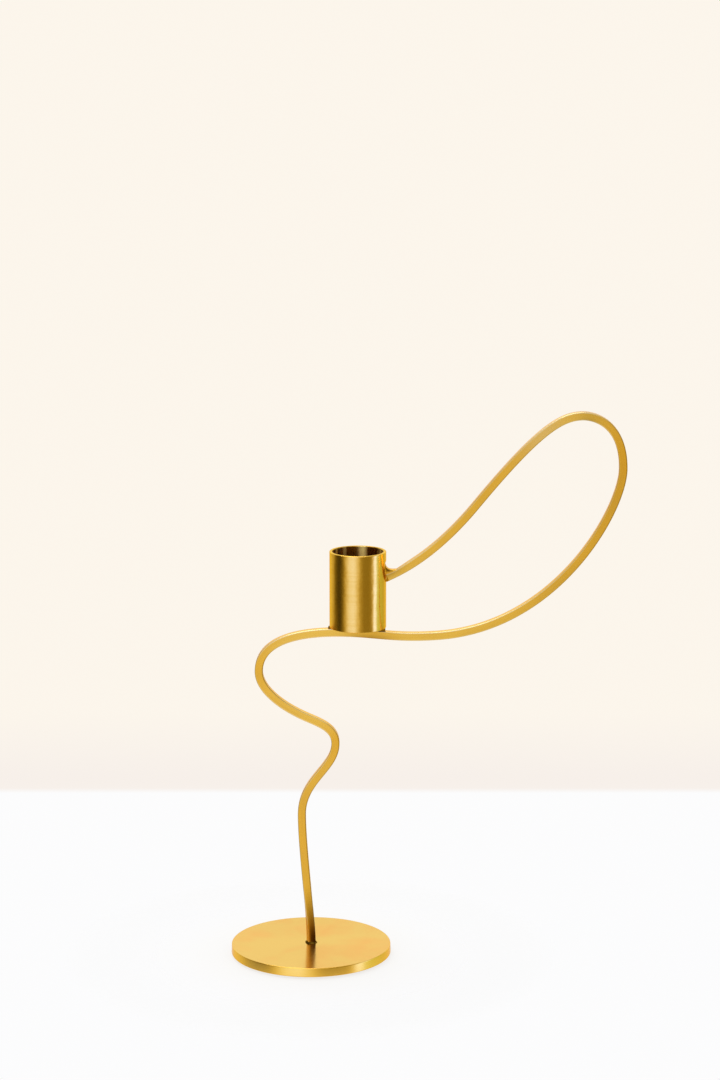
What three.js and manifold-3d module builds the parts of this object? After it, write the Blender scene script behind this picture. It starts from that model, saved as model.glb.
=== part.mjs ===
// A taper candle holder: one square brass bar, bent in a flat plane like a single drawn line, stands on a
// round plate, carries a short tube cup on its saddle and loops back to the side of the cup.
// Millimetres, +Z up. The origin is on the table, under the middle of the round plate.
// The bar lies in the plane Y = 0, with the front of the object facing -Y.

import * as THREE from "three";
import { mergeVertices } from "three/addons/utils/BufferGeometryUtils.js";
import Module from "manifold-3d";

const wasm = await Module();
wasm.setup();

// Driving dimensions: the round base
const baseDiameter = 80;
const baseThickness = 4.5;
const baseEdgeChamfer = 0.5;
const padThickness = 1;
const padInset = 3;

// Driving dimensions: the bent bar
const barSize = 4;
const barCornerRadius = 0.45;
const spigotDiameter = 3;
const spigotFit = 0.1;
const footTwist = 12;
const footTwistLength = 34;

// Driving dimensions: the candle cup
const cupDiameter = 28;
const cupHeight = 38.2;
const cupWall = 1.5;
const cupRimChamfer = 0.35;
const cupFloorThickness = 2;
const cupFloorFit = 0.1;
const cupReach = 23.5;
const cupUndersideHeight = 162.7;

// Driving dimensions: the bends of the bar, measured from the middle of its foot on the base
const waistReach = -4.4;
const waistHeight = 67;
const kneeReach = 12.4;
const kneeHeight = 103.7;
const shoulderReach = -3;
const shoulderHeight = 117.5;
const shoulderHeading = 155;
const hookReach = -25.4;
const hookHeight = 140.4;

// Driving dimensions: the bends of the loop, measured from the cup's axis and from its underside
const saddleSlope = -3.5;
const saddleGap = 0.85;
const runOutReach = 39.4;
const runOutDrop = 4.2;
const runOutSlope = 4;
const loopReach = 129.4;
const loopReachHeight = 79;
const loopTopReach = 109.7;
const loopTopHeight = 105.3;
const returnReach = 57.6;
const returnHeight = 60.9;
const returnHeading = 231;
const arrivalHeight = 24.4;
const arrivalHeading = 211;

// Driving dimensions: the brazed joints
const brazeGap = 0.15;
const copeGap = 0.3;
const footBrazeLeg = 0.9;
const arrivalBrazeTopLeg = 3.6;
const arrivalBrazeUnderLeg = 1;
const arrivalBrazeSideLeg = 0.9;
const arrivalBrazeLength = 6;
const brazeEdge = 0.15;
const seatBrazeReach = 9.5;
const seatBrazeOverhang = 0.7;

// Fineness of the facets
const roundSegments = 72;
const spigotSegments = 24;
const bendSteps = 19;
const cornerSteps = 2;
const beadSteps = 4;
const seatSteps = 12;
const mergeDistance = 1e-5;

// Places worked out from the sizes
const baseUnderside = padThickness;
const baseTop = baseUnderside + baseThickness;
const cupRadius = cupDiameter / 2;
const cupBore = cupRadius - cupWall;
const cupUnderside = baseTop + cupUndersideHeight;
const halfBar = barSize / 2;

// Materials, with the colours of the satin brass
const satinBrass = { color: 0xd9a441, roughness: 0.32, metalness: 1 };
const platedBase = { color: 0xe3b461, roughness: 0.28, metalness: 1 };
const brazeBrass = { color: 0xc79a3c, roughness: 0.45, metalness: 1 };
const feltGrey = { color: 0x3a3835, roughness: 0.95, metalness: 0 };

const degrees = THREE.MathUtils.degToRad;

function namedMesh(name, geometry, look) {
  geometry.computeVertexNormals();
  const mesh = new THREE.Mesh(geometry, new THREE.MeshStandardMaterial(look));
  mesh.name = name;
  return mesh;
}

// Solids for cutting and joining

function toSolid(geometry) {
  const bare = geometry.clone();
  bare.deleteAttribute("normal");
  bare.deleteAttribute("uv");
  const merged = mergeVertices(bare, mergeDistance);
  const vertProperties = new Float32Array(merged.attributes.position.array);
  const triVerts = new Uint32Array(merged.index.array);
  return new wasm.Manifold(new wasm.Mesh({ numProp: 3, vertProperties, triVerts }));
}

function toGeometry(solid) {
  const mesh = solid.getMesh();
  const geometry = new THREE.BufferGeometry();
  geometry.setAttribute("position", new THREE.BufferAttribute(new Float32Array(mesh.vertProperties), 3));
  geometry.setIndex(new THREE.BufferAttribute(new Uint32Array(mesh.triVerts), 1));
  return geometry;
}

// A cylinder that stands along Z from one height to another
function standingCylinder(radius, bottom, top, segments = roundSegments) {
  const cylinder = new THREE.CylinderGeometry(radius, radius, top - bottom, segments);
  cylinder.rotateX(Math.PI / 2);
  cylinder.translate(0, 0, (bottom + top) / 2);
  return cylinder;
}

// A solid of revolution about Z, from a closed profile of [radius, height] points in counterclockwise order
function turned(profile) {
  const points = profile.map(([radius, height]) => new THREE.Vector2(radius, height));
  const lathe = new THREE.LatheGeometry(points, roundSegments);
  lathe.rotateX(Math.PI / 2);
  return lathe;
}

// A closed skin through loops of points: its ends get flat caps, or it closes on itself as a ring does
function loftedSkin(loops, ring = false) {
  const around = loops[0].length;
  const positions = loops.flat().flatMap((point) => [point.x, point.y, point.z]);
  const triangles = [];
  const bands = ring ? loops.length : loops.length - 1;
  for (let band = 0; band < bands; band += 1) {
    const lower = band * around;
    const upper = ((band + 1) % loops.length) * around;
    for (let side = 0; side < around; side += 1) {
      const next = (side + 1) % around;
      triangles.push(lower + side, lower + next, upper + next);
      triangles.push(lower + side, upper + next, upper + side);
    }
  }
  if (!ring) {
    const last = (loops.length - 1) * around;
    for (let side = 1; side < around - 1; side += 1) {
      triangles.push(0, side + 1, side);
      triangles.push(last, last + side, last + side + 1);
    }
  }
  const geometry = new THREE.BufferGeometry();
  geometry.setAttribute("position", new THREE.Float32BufferAttribute(positions, 3));
  geometry.setIndex(triangles);
  return geometry;
}

// The bends of the bar: places in the plane Y = 0, the heading there in degrees from +X towards +Z,
// and how far the curve holds that heading before and after the place
const barBends = [
  { x: 0, z: baseTop, heading: 90, before: 0, after: 15 },
  { x: waistReach, z: baseTop + waistHeight, heading: 90, before: 18, after: 18 },
  { x: kneeReach, z: baseTop + kneeHeight, heading: 90, before: 13, after: 8 },
  { x: shoulderReach, z: baseTop + shoulderHeight, heading: shoulderHeading, before: 8, after: 13 },
  { x: hookReach, z: baseTop + hookHeight, heading: 90, before: 9, after: 15 },
  { x: cupReach, z: cupUnderside - halfBar - saddleGap, heading: saddleSlope, before: 31, after: 13 },
  { x: cupReach + runOutReach, z: cupUnderside - runOutDrop, heading: runOutSlope, before: 18, after: 59 },
  { x: cupReach + loopReach, z: cupUnderside + loopReachHeight, heading: 90, before: 20, after: 23 },
  { x: cupReach + loopTopReach, z: cupUnderside + loopTopHeight, heading: 180, before: 5, after: 11 },
  { x: cupReach + returnReach, z: cupUnderside + returnHeight, heading: returnHeading, before: 48, after: 37 },
  { x: cupReach + cupBore, z: cupUnderside + arrivalHeight, heading: arrivalHeading, before: 4, after: 0 },
];

function headingVector(heading) {
  return new THREE.Vector3(Math.cos(degrees(heading)), 0, Math.sin(degrees(heading)));
}

// The middle line of the bar: a cubic curve from each bend to the next
function barLine() {
  const path = new THREE.CurvePath();
  for (let index = 1; index < barBends.length; index += 1) {
    const from = barBends[index - 1];
    const to = barBends[index];
    const start = new THREE.Vector3(from.x, 0, from.z);
    const end = new THREE.Vector3(to.x, 0, to.z);
    const leaving = start.clone().addScaledVector(headingVector(from.heading), from.after);
    const arriving = end.clone().addScaledVector(headingVector(to.heading), -to.before);
    path.add(new THREE.CubicBezierCurve3(start, leaving, arriving, end));
  }
  return path;
}

// Stations along the bar: its place, its direction and the direction square to it in the bar's plane
function barStations() {
  const line = barLine();
  const stations = [];
  let travelled = 0;
  for (const bend of line.curves) {
    const first = stations.length === 0 ? 0 : 1;
    for (let step = first; step <= bendSteps; step += 1) {
      const place = bend.getPoint(step / bendSteps);
      const along = bend.getTangent(step / bendSteps);
      const across = new THREE.Vector3(-along.z, 0, along.x);
      if (stations.length > 0) {
        travelled += place.distanceTo(stations[stations.length - 1].place);
      }
      stations.push({ place, along, across, travelled });
    }
  }
  return stations;
}

// The bar's square section with rounded corners, as [across, sideways] points
function squareSection(halfSize, cornerRadius) {
  const points = [];
  for (let corner = 0; corner < 4; corner += 1) {
    const middle = degrees(45 + 90 * corner);
    const reach = (halfSize - cornerRadius) * Math.SQRT2;
    for (let step = 0; step <= cornerSteps; step += 1) {
      const turn = degrees(90 * corner + (90 * step) / cornerSteps);
      const across = reach * Math.cos(middle) + cornerRadius * Math.cos(turn);
      const sideways = reach * Math.sin(middle) + cornerRadius * Math.sin(turn);
      points.push([across, sideways]);
    }
  }
  return points;
}

// The bar was turned a little about its own length when its foot was set on the plate
function twistAt(travelled) {
  const share = THREE.MathUtils.clamp(1 - travelled / footTwistLength, 0, 1);
  return degrees(footTwist) * share * share * (3 - 2 * share);
}

function placedSection(station, section, twist) {
  const frontward = new THREE.Vector3(0, -1, 0);
  return section.map(([across, sideways]) => {
    const turnedAcross = across * Math.cos(twist) - sideways * Math.sin(twist);
    const turnedSideways = across * Math.sin(twist) + sideways * Math.cos(twist);
    const point = station.place.clone();
    point.addScaledVector(station.across, turnedAcross);
    point.addScaledVector(frontward, turnedSideways);
    return point;
  });
}

const stations = barStations();

// The cup's round side above its underside, with a gap round it, for coping what meets it there
function cupSide() {
  const space = standingCylinder(cupRadius + copeGap, cupUnderside, cupUnderside + 2 * cupHeight);
  space.translate(cupReach, 0, 0);
  return toSolid(space);
}

// The bent bar: a square section swept through the bends, a round spigot turned on its foot,
// and the other end coped to the round side of the cup
function bentBar() {
  const section = squareSection(halfBar, barCornerRadius);
  const loops = stations.map((station) => placedSection(station, section, twistAt(station.travelled)));
  const swept = toSolid(loftedSkin(loops));
  const spigot = toSolid(standingCylinder(spigotDiameter / 2, baseUnderside, baseTop + halfBar, spigotSegments));
  return toGeometry(swept.subtract(cupSide()).add(spigot));
}

// The round plate, chamfered at both edges, with a hole for the bar's spigot
function basePlate() {
  const radius = baseDiameter / 2;
  const inner = spigotDiameter / 2 + spigotFit;
  return turned([
    [inner, baseUnderside],
    [radius - baseEdgeChamfer, baseUnderside],
    [radius, baseUnderside + baseEdgeChamfer],
    [radius, baseTop - baseEdgeChamfer],
    [radius - baseEdgeChamfer, baseTop],
    [inner, baseTop],
    [inner, baseUnderside],
  ]);
}

// The felt disc under the plate, set in from its edge
function feltPad() {
  return standingCylinder(baseDiameter / 2 - padInset, 0, padThickness);
}

// The cup: a straight tube with a chamfered rim
function candleCup() {
  const top = cupUnderside + cupHeight;
  const geometry = turned([
    [cupBore, cupUnderside],
    [cupRadius - cupRimChamfer, cupUnderside],
    [cupRadius, cupUnderside + cupRimChamfer],
    [cupRadius, top - cupRimChamfer],
    [cupRadius - cupRimChamfer, top],
    [cupBore + cupRimChamfer, top],
    [cupBore, top - cupRimChamfer],
    [cupBore, cupUnderside],
  ]);
  return geometry.translate(cupReach, 0, 0);
}

// The disc that closes the bottom of the tube
function cupFloor() {
  const disc = standingCylinder(cupBore - cupFloorFit, cupUnderside, cupUnderside + cupFloorThickness);
  return disc.translate(cupReach, 0, 0);
}

// The bead of braze round the bar's foot: a hollow-faced fillet that follows the bar's four sides
function footBraze() {
  const twist = twistAt(0);
  const inner = halfBar + brazeGap;
  const rise = (height) => {
    const foot = stations[0];
    return { place: new THREE.Vector3(0, 0, baseTop + height), across: foot.across };
  };
  const loops = [];
  for (let step = 0; step <= beadSteps; step += 1) {
    const turn = (Math.PI / 2) * (step / beadSteps);
    const leg = brazeEdge + footBrazeLeg * (1 - Math.sin(turn));
    const height = footBrazeLeg * (1 - Math.cos(turn));
    const section = squareSection(inner + leg, barCornerRadius + leg);
    loops.push(placedSection(rise(height), section, twist));
  }
  const hole = squareSection(inner, barCornerRadius);
  loops.push(placedSection(rise(footBrazeLeg), hole, twist));
  loops.push(placedSection(rise(0), hole, twist));
  return loftedSkin(loops, true);
}

// The bar's station where it passes a given reach under the cup
function barTopUnderCup(reach) {
  const near = stations.filter(({ place }) => place.z < cupUnderside && place.z > cupUnderside - 3 * barSize);
  const x = cupReach + reach;
  for (let index = 1; index < near.length; index += 1) {
    const before = near[index - 1].place;
    const after = near[index].place;
    if (before.x <= x && after.x >= x) {
      const share = (x - before.x) / (after.x - before.x);
      return before.z + share * (after.z - before.z) + halfBar;
    }
  }
  return cupUnderside - barSize;
}

// The braze between the saddle of the bar and the cup: a wedge that thickens where the bar slopes away
function seatBraze() {
  const halfTop = halfBar + seatBrazeOverhang;
  const loops = [];
  for (let step = 0; step <= seatSteps; step += 1) {
    const reach = seatBrazeReach * ((2 * step) / seatSteps - 1);
    const bottom = barTopUnderCup(reach) + brazeGap;
    const x = cupReach + reach;
    loops.push([
      new THREE.Vector3(x, -halfBar, bottom),
      new THREE.Vector3(x, halfBar, bottom),
      new THREE.Vector3(x, halfTop, cupUnderside),
      new THREE.Vector3(x, -halfTop, cupUnderside),
    ]);
  }
  return loftedSkin(loops);
}

// The braze where the bar's end meets the cup: a sleeve that flares on to the cup's side, deepest on top
function arrivalBraze() {
  const inner = halfBar + brazeGap;
  const end = stations[stations.length - 1];
  const toCupSide = cupWall / Math.cos(degrees(arrivalHeading - 180));
  const flare = (distance) => {
    const share = THREE.MathUtils.clamp(1 - (distance - toCupSide) / arrivalBrazeLength, 0, 1);
    return share * share;
  };
  const reached = stations.filter((station) => end.travelled - station.travelled < arrivalBrazeLength + toCupSide);
  const section = squareSection(inner, barCornerRadius);
  const outerLoops = reached.map((station) => {
    const grown = flare(end.travelled - station.travelled);
    const swollen = section.map(([across, sideways]) => {
      const leg = across < 0 ? arrivalBrazeTopLeg : arrivalBrazeUnderLeg;
      const outAcross = across + Math.sign(across) * (brazeEdge + leg * grown);
      const outSideways = sideways + Math.sign(sideways) * (brazeEdge + arrivalBrazeSideLeg * grown);
      return [outAcross, outSideways];
    });
    return placedSection(station, swollen, 0);
  });
  const innerLoops = reached.map((station) => placedSection(station, section, 0)).reverse();
  const sleeve = toSolid(loftedSkin([...outerLoops, ...innerLoops], true));
  return toGeometry(sleeve.subtract(cupSide()));
}

const candleHolder = new THREE.Group();
candleHolder.add(namedMesh("base_plate", basePlate(), platedBase));
candleHolder.add(namedMesh("felt_pad", feltPad(), feltGrey));
candleHolder.add(namedMesh("bent_bar", bentBar(), satinBrass));
candleHolder.add(namedMesh("foot_braze", footBraze(), brazeBrass));
candleHolder.add(namedMesh("candle_cup", candleCup(), satinBrass));
candleHolder.add(namedMesh("cup_floor", cupFloor(), satinBrass));
candleHolder.add(namedMesh("seat_braze", seatBraze(), brazeBrass));
candleHolder.add(namedMesh("arrival_braze", arrivalBraze(), brazeBrass));

export default candleHolder;
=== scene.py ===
"""Taper candle holder of bent square brass bar, dressed for a studio picture.

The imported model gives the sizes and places. This script lays finely modelled surfaces over it, gives
them procedural brass and felt, and sets up a pale studio with the camera at the photograph's angle.
"""

import math

import bpy
import numpy as np
from bpy.props import FloatProperty, FloatVectorProperty, IntProperty, PointerProperty
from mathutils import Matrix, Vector


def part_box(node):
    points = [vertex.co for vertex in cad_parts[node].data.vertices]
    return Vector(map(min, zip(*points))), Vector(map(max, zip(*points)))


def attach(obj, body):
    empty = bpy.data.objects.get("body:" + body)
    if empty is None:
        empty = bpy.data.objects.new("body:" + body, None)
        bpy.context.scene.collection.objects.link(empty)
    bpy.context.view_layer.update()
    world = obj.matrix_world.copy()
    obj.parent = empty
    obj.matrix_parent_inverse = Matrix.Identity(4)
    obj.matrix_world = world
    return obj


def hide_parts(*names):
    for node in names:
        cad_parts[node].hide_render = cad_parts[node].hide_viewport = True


bl_info = {
    "name": "Bent Bar Candle Holder",
    "version": (1, 0, 0),
    "blender": (4, 5, 0),
    "location": "View3D > Sidebar > Candle Holder",
    "description": "Models and dresses a taper candle holder of bent square brass bar",
    "category": "Object",
}

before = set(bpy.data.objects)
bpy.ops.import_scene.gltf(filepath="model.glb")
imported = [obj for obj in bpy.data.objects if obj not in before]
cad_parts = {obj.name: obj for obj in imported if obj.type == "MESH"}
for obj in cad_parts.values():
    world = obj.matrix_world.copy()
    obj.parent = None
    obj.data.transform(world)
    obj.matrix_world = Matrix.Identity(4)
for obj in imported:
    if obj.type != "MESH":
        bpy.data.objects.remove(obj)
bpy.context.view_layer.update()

MM = 0.001

# How deep a joint's surface reaches into the metal beside it
OVERLAP = 0.05 * MM

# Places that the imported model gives
PLATE_LOW, PLATE_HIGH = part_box("base_plate")
PAD_LOW, PAD_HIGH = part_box("felt_pad")
CUP_LOW, CUP_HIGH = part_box("candle_cup")

PLATE_RADIUS = (PLATE_HIGH.x - PLATE_LOW.x) / 2
PLATE_TOP = PLATE_HIGH.z
PAD_RADIUS = (PAD_HIGH.x - PAD_LOW.x) / 2
CUP_RADIUS = (CUP_HIGH.x - CUP_LOW.x) / 2
CUP_REACH = (CUP_HIGH.x + CUP_LOW.x) / 2
CUP_SIDE = CUP_REACH + CUP_RADIUS
CUP_UNDERSIDE = CUP_LOW.z
CUP_RIM = CUP_HIGH.z
CUP_FLOOR_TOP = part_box("cup_floor")[1].z

# Places that the bar's middle line passes, as (reach, height, heading, arriving, leaving). The heading is in
# degrees and the rest in millimetres. The last two are how far before and after the place the line is drawn
# along its heading. The lower bends are measured from the middle of the plate's top, the upper ones from the
# cup's axis and underside.
LOWER_BENDS = [
    (0, 0, 90, 0, 15),
    (-4.4, 67.0, 90, 18, 18),
    (12.4, 103.7, 90, 13, 8),
    (-3.0, 117.5, 155, 8, 13),
    (-25.4, 140.4, 90, 9, 15),
]
UPPER_BENDS = [
    (0.0, -2.85, -3.5, 31, 13),
    (39.4, -4.2, 4, 18, 59),
    (129.4, 79, 90, 20, 23),
    (109.7, 105.3, 180, 5, 11),
    (57.6, 60.9, 231, 48, 37),
    (12.5, 24.4, 211, 4, 0),
]

# Marked spots of the bar, as (reach, height, radius) in millimetres from the cup's axis and underside
SADDLE = (7, 0, 11)
RUBBED_ARM = (89, 98, 14)
SMUDGED_CREST = (113, 105, 6)


# Settings


def length(name, description, millimetres):
    """A length, given in millimetres."""
    return FloatProperty(name=name, description=description, default=millimetres * MM, unit="LENGTH")


def angle(name, description, degrees):
    """An angle, given in degrees."""
    return FloatProperty(name=name, description=description, default=math.radians(degrees), subtype="ANGLE")


def fraction(name, description, default):
    """A number from 0 to 1."""
    return FloatProperty(name=name, description=description, default=default, min=0, max=1)


def colour_of(name, what, default):
    """The colour of something."""
    return FloatVectorProperty(
        name=name, description=f"Colour of {what}", default=default, subtype="COLOR", min=0, max=1)


class HolderSizes(bpy.types.PropertyGroup):
    """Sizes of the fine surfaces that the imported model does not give."""

    bar_size: length("Bar size", "Across the flats of the square bar", 4.0)
    bar_corner: length("Bar corner", "Radius of the bar's four edges", 0.32)
    foot_twist: angle("Foot twist", "Turn of the bar about its own length at its foot", 12)
    foot_twist_length: length("Twist length", "Length of bar over which the turn fades out", 34.0)
    plate_edge: length("Plate edge", "Radius where the plate's faces turn into its edge", 0.35)
    plate_draft: length("Plate draft", "How far the plate's side leans in to its top", 0.15)
    pad_edge: length("Pad edge", "Radius of the felt pad's soft edges", 0.3)
    cup_wall: length("Cup wall", "Thickness of the tube", 1.5)
    cup_rim: length("Cup rim", "Radius of the rim's broken edges", 0.35)
    floor_fillet: length("Floor fillet", "Radius of the braze round the cup's floor", 0.8)
    foot_bead: length("Foot bead", "Leg of the braze round the bar's foot", 0.9)
    arrival_top: length("Top fillet", "How far the braze climbs the cup above the bar's end", 6.9)
    arrival_side: length("Under fillet", "How far the braze spreads round the bar's end", 0.45)
    arrival_length: length("Fillet length", "How far the braze runs out on top of the bar", 6.5)
    filed: length("Filed", "How deep the file cut into the cup and the bar beside the joint", 0.75)
    round_steps: IntProperty(
        name="Round steps", description="Steps round the cup and the plate", default=192, min=24)
    bend_steps: IntProperty(
        name="Bend steps", description="Steps along each bend of the bar", default=72, min=8)


class HolderFinish(bpy.types.PropertyGroup):
    """Colours and finish of the metals and the felt."""

    brass: colour_of("Cup brass", "the cup's satin brass", (0.88, 0.52, 0.1))
    brass_deep: colour_of("Deep brass", "the brass where it has dulled", (0.8, 0.43, 0.05))
    edge_tint: colour_of("Cup tint", "what the cup mirrors at a glancing angle", (0.9, 0.68, 0.3))
    plate_brass: colour_of("Plate brass", "the plate's top", (0.81, 0.495, 0.105))
    plate_cloud: colour_of("Plate clouds", "the plate's top where it has tarnished", (0.86, 0.41, 0.09))
    plate_tint: colour_of("Plate tint", "what plate and bar mirror at a glancing angle", (0.88, 0.7, 0.45))
    bar_brass: colour_of("Bar brass", "the bar's upright stretches", (0.92, 0.475, 0.04))
    # Painted highlight: the lighter brass of the bar's level stretches and of the plate's side
    highlight_brass: colour_of("Level brass", "the bar's level stretches and the plate's side", (1.0, 0.6, 0.09))
    # Also the painted highlight along the bar's front corners on its level stretches
    edge_brass: colour_of("Edge brass", "the bar where it is rubbed bright", (1.0, 0.82, 0.42))
    # Painted shade on the bar's corners
    edge_shade: colour_of("Edge tarnish", "the bar's edges where they stay dull", (0.5, 0.29, 0.02))
    # Also the painted shade beside the cup's joints and on the saddle under the cup, and the braze's glancing
    # colour
    heat_tint_and_shade: colour_of("Heat tint", "what brazing leaves on the metal beside a joint", (0.05, 0.014, 0.001))
    # Also the painted shade on the cup's underside and on the seat braze
    soot_and_shade: colour_of("Soot", "the cup's underside and the raw braze", (0.012, 0.007, 0.002))
    # Painted highlight: the pale bands inside the cup
    inside_highlight: colour_of("Film", "the dull film that candles leave inside the cup", (1.0, 0.78, 0.28))
    inside_brass: colour_of("Inside brass", "the brass inside the cup", (0.3, 0.13, 0.015))
    felt: colour_of("Felt", "the felt pad", (0.035, 0.034, 0.032))
    brushing: fraction("Brushing", "How much the brushed rings stretch what the metal mirrors", 0.9)
    bar_roughness: fraction("Bar roughness", "Roughness of the bar", 0.22)
    cup_roughness: fraction("Cup roughness", "Roughness of the cup", 0.19)
    plate_roughness: fraction("Plate roughness", "Roughness of the plate", 0.21)


class HolderStage(bpy.types.PropertyGroup):
    """Camera, floor and backdrop."""

    camera_place: FloatVectorProperty(
        name="Camera", description="Place of the camera", default=(0.02457, -1.48077, 0.51084),
        subtype="TRANSLATION")
    camera_pitch: angle("Pitch", "How far the camera looks down", 11.413)
    camera_lens: FloatProperty(name="Lens", description="Focal length in millimetres", default=102.776)
    table_colour: colour_of("Table", "the floor in the picture", (0.975, 0.975, 0.98))
    wall_colour: colour_of("Wall", "the backdrop in the picture", (0.974, 0.917, 0.835))
    skirting_colour: colour_of("Skirting", "the band where the wall meets the floor", (0.93, 0.87, 0.82))
    floor_radius: length("Floor radius", "Radius of the floor that catches the shadow", 130)


# Surfaces


def sizes():
    """The sizes as the panel gives them."""
    return bpy.context.scene.holder_sizes


def lengths(points):
    """Distances along a row of points, from the first of them."""
    return np.r_[0, np.cumsum(np.linalg.norm(np.diff(points, axis=0), axis=1))]


def eased(share):
    """A smooth rise from 0 at a share of 0 to 1 at a share of 1: 3 s^2 - 2 s^3."""
    share = np.clip(share, 0, 1)
    return share * share * (3 - 2 * share)


def fading(distance, width):
    """A bell: 1 at no distance and e^-1 at one width."""
    return np.exp(-(distance / width) ** 2)


def cubic(t, start, leaving, arriving, end):
    """A cubic curve from start to end, drawn towards two control points on its way."""
    return ((1 - t) ** 3 * start + 3 * (1 - t) ** 2 * t * leaving
            + 3 * (1 - t) * t ** 2 * arriving + t ** 3 * end)


def put(data, place=(0, 0, 0), turn=(0, 0, 0)):
    """Puts a mesh, a lamp or a camera into the scene as an object of the same name."""
    thing = bpy.data.objects.new(data.name, data)
    thing.location, thing.rotation_euler = place, turn
    bpy.context.scene.collection.objects.link(thing)
    return thing


def fill(collection, key, values, kind=np.float32):
    """Writes an array into the items of a mesh."""
    collection.foreach_set(key, np.asarray(values, dtype=kind).ravel())


def place_mesh(name, vertices, quads, triangles=None, corner_uv=None, marks=None):
    """Puts arrays into a smooth mesh object.

    The arrays are vertices (n, 3), quads (m, 4), triangles (k, 3), UVs per face corner and values per vertex.
    """
    triangles = np.zeros((0, 3), dtype=int) if triangles is None else triangles
    corners = np.concatenate([quads.ravel(), triangles.ravel()])
    starts = np.concatenate([np.arange(len(quads)) * 4, quads.size + np.arange(len(triangles)) * 3])
    mesh = bpy.data.meshes.new(name)
    mesh.vertices.add(len(vertices))
    fill(mesh.vertices, "co", vertices)
    mesh.loops.add(len(corners))
    fill(mesh.loops, "vertex_index", corners, np.int32)
    mesh.polygons.add(len(starts))
    fill(mesh.polygons, "loop_start", starts, np.int32)
    fill(mesh.polygons, "use_smooth", np.ones(len(starts)), bool)
    if corner_uv is not None:
        fill(mesh.uv_layers.new(name="UVMap").data, "uv", corner_uv)
    for mark, values in (marks or {}).items():
        fill(mesh.attributes.new(mark, "FLOAT", "POINT").data, "value", values)
    mesh.update(calc_edges=True)
    mesh.validate()
    return put(mesh)


def grid_faces(rows, columns, ring=False):
    """Row, column and corners of a grid's faces; its columns close on themselves, and with ring its rows."""
    row, column = np.meshgrid(np.arange(rows if ring else rows - 1), np.arange(columns), indexing="ij")
    here, next_row = row * columns, (row + 1) % rows * columns
    onward = (column + 1) % columns
    quads = np.stack([here + column, here + onward, next_row + onward, next_row + column], axis=-1)
    return row, column, quads.reshape(-1, 4)


def closed_grid(name, grid, along, around, ring=False, marks=None):
    """A skin over a grid of points (rows, columns, 3) whose columns close on themselves.

    With ring set the rows close on themselves too, as a bead does. Otherwise fans from the middles of the
    first and the last row close the ends. The UVs are the distances round and along.
    """
    rows, columns = grid.shape[:2]
    row, column, quads = grid_faces(rows, columns, ring)
    round_edges = np.r_[around, around[-1] + (around[-1] - around[-2])]
    uv = np.stack(np.meshgrid(round_edges, np.r_[along, along[-1]]), axis=-1)
    corner_uv = np.stack([
        uv[row, column], uv[row, column + 1],
        uv[row + 1, column + 1], uv[row + 1, column]], axis=2).reshape(-1, 2)
    points = grid.reshape(-1, 3)
    marks = {mark: np.asarray(values).ravel() for mark, values in (marks or {}).items()}
    if ring:
        return place_mesh(name, points, quads, None, corner_uv, marks)
    step = np.arange(columns)
    onward = (step + 1) % columns
    last = (rows - 1) * columns
    triangles = np.concatenate([
        np.stack([onward, step, np.full(columns, len(points))], axis=-1),
        np.stack([last + step, last + onward, np.full(columns, len(points) + 1)], axis=-1)])
    points = np.concatenate([points, grid[0].mean(axis=0)[None], grid[-1].mean(axis=0)[None]])
    marks = {mark: np.r_[values, values[0], values[-1]] for mark, values in marks.items()}
    fan = np.stack([step, step + 1, step], axis=-1).ravel()
    corner_uv = np.concatenate([corner_uv, uv[0, fan], uv[rows - 1, fan]])
    return place_mesh(name, points, quads, triangles, corner_uv, marks)


def turned_skin(name, profile, centre=(0.0, 0.0), ring=False):
    """A surface of revolution about an upright axis.

    The point at step a along the profile and angle t round the axis is
    (centre + radius(a) * (cos t, sin t), height(a)). The profile runs counterclockwise seen with the axis on
    the left, so that the skin faces outwards.
    """
    steps = sizes().round_steps
    turn = np.arange(steps) * (2 * np.pi / steps)
    radius, height = profile[:, 0:1], profile[:, 1:2]
    grid = np.stack([
        centre[0] + radius * np.cos(turn),
        centre[1] + radius * np.sin(turn),
        np.broadcast_to(height, (len(profile), steps))], axis=-1)
    return closed_grid(name, grid, lengths(profile), turn, ring)


def arc(middle, radius, start, end, steps=6):
    """Points on a round corner of a profile, from one bearing to another in degrees."""
    turn = np.radians(np.linspace(start, end, steps))
    return np.stack([middle[0] + radius * np.cos(turn), middle[1] + radius * np.sin(turn)], axis=-1)


def straight(start, end, steps):
    """Points on a straight stretch of a profile, closer at its ends, which keeps it flat to the light."""
    share = (1 - np.cos(np.linspace(0, np.pi, steps + 2)[1:-1])) / 2
    start, end = np.asarray(start), np.asarray(end)
    return start + (end - start) * share[:, None]


def soft_square(steps, power):
    """A square with soft corners: bearings, sideways from -1 to 1, and upward from 0 to 1.

    They are the cosine and the sine of the bearing, raised to a power with their signs kept.
    """
    turn = np.linspace(0, 2 * np.pi, steps, endpoint=False)
    circle = np.stack([np.cos(turn), np.sin(turn)])
    sideways, upward = np.sign(circle) * np.abs(circle) ** power
    return turn, sideways, (upward + 1) / 2


# The bent bar


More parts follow.
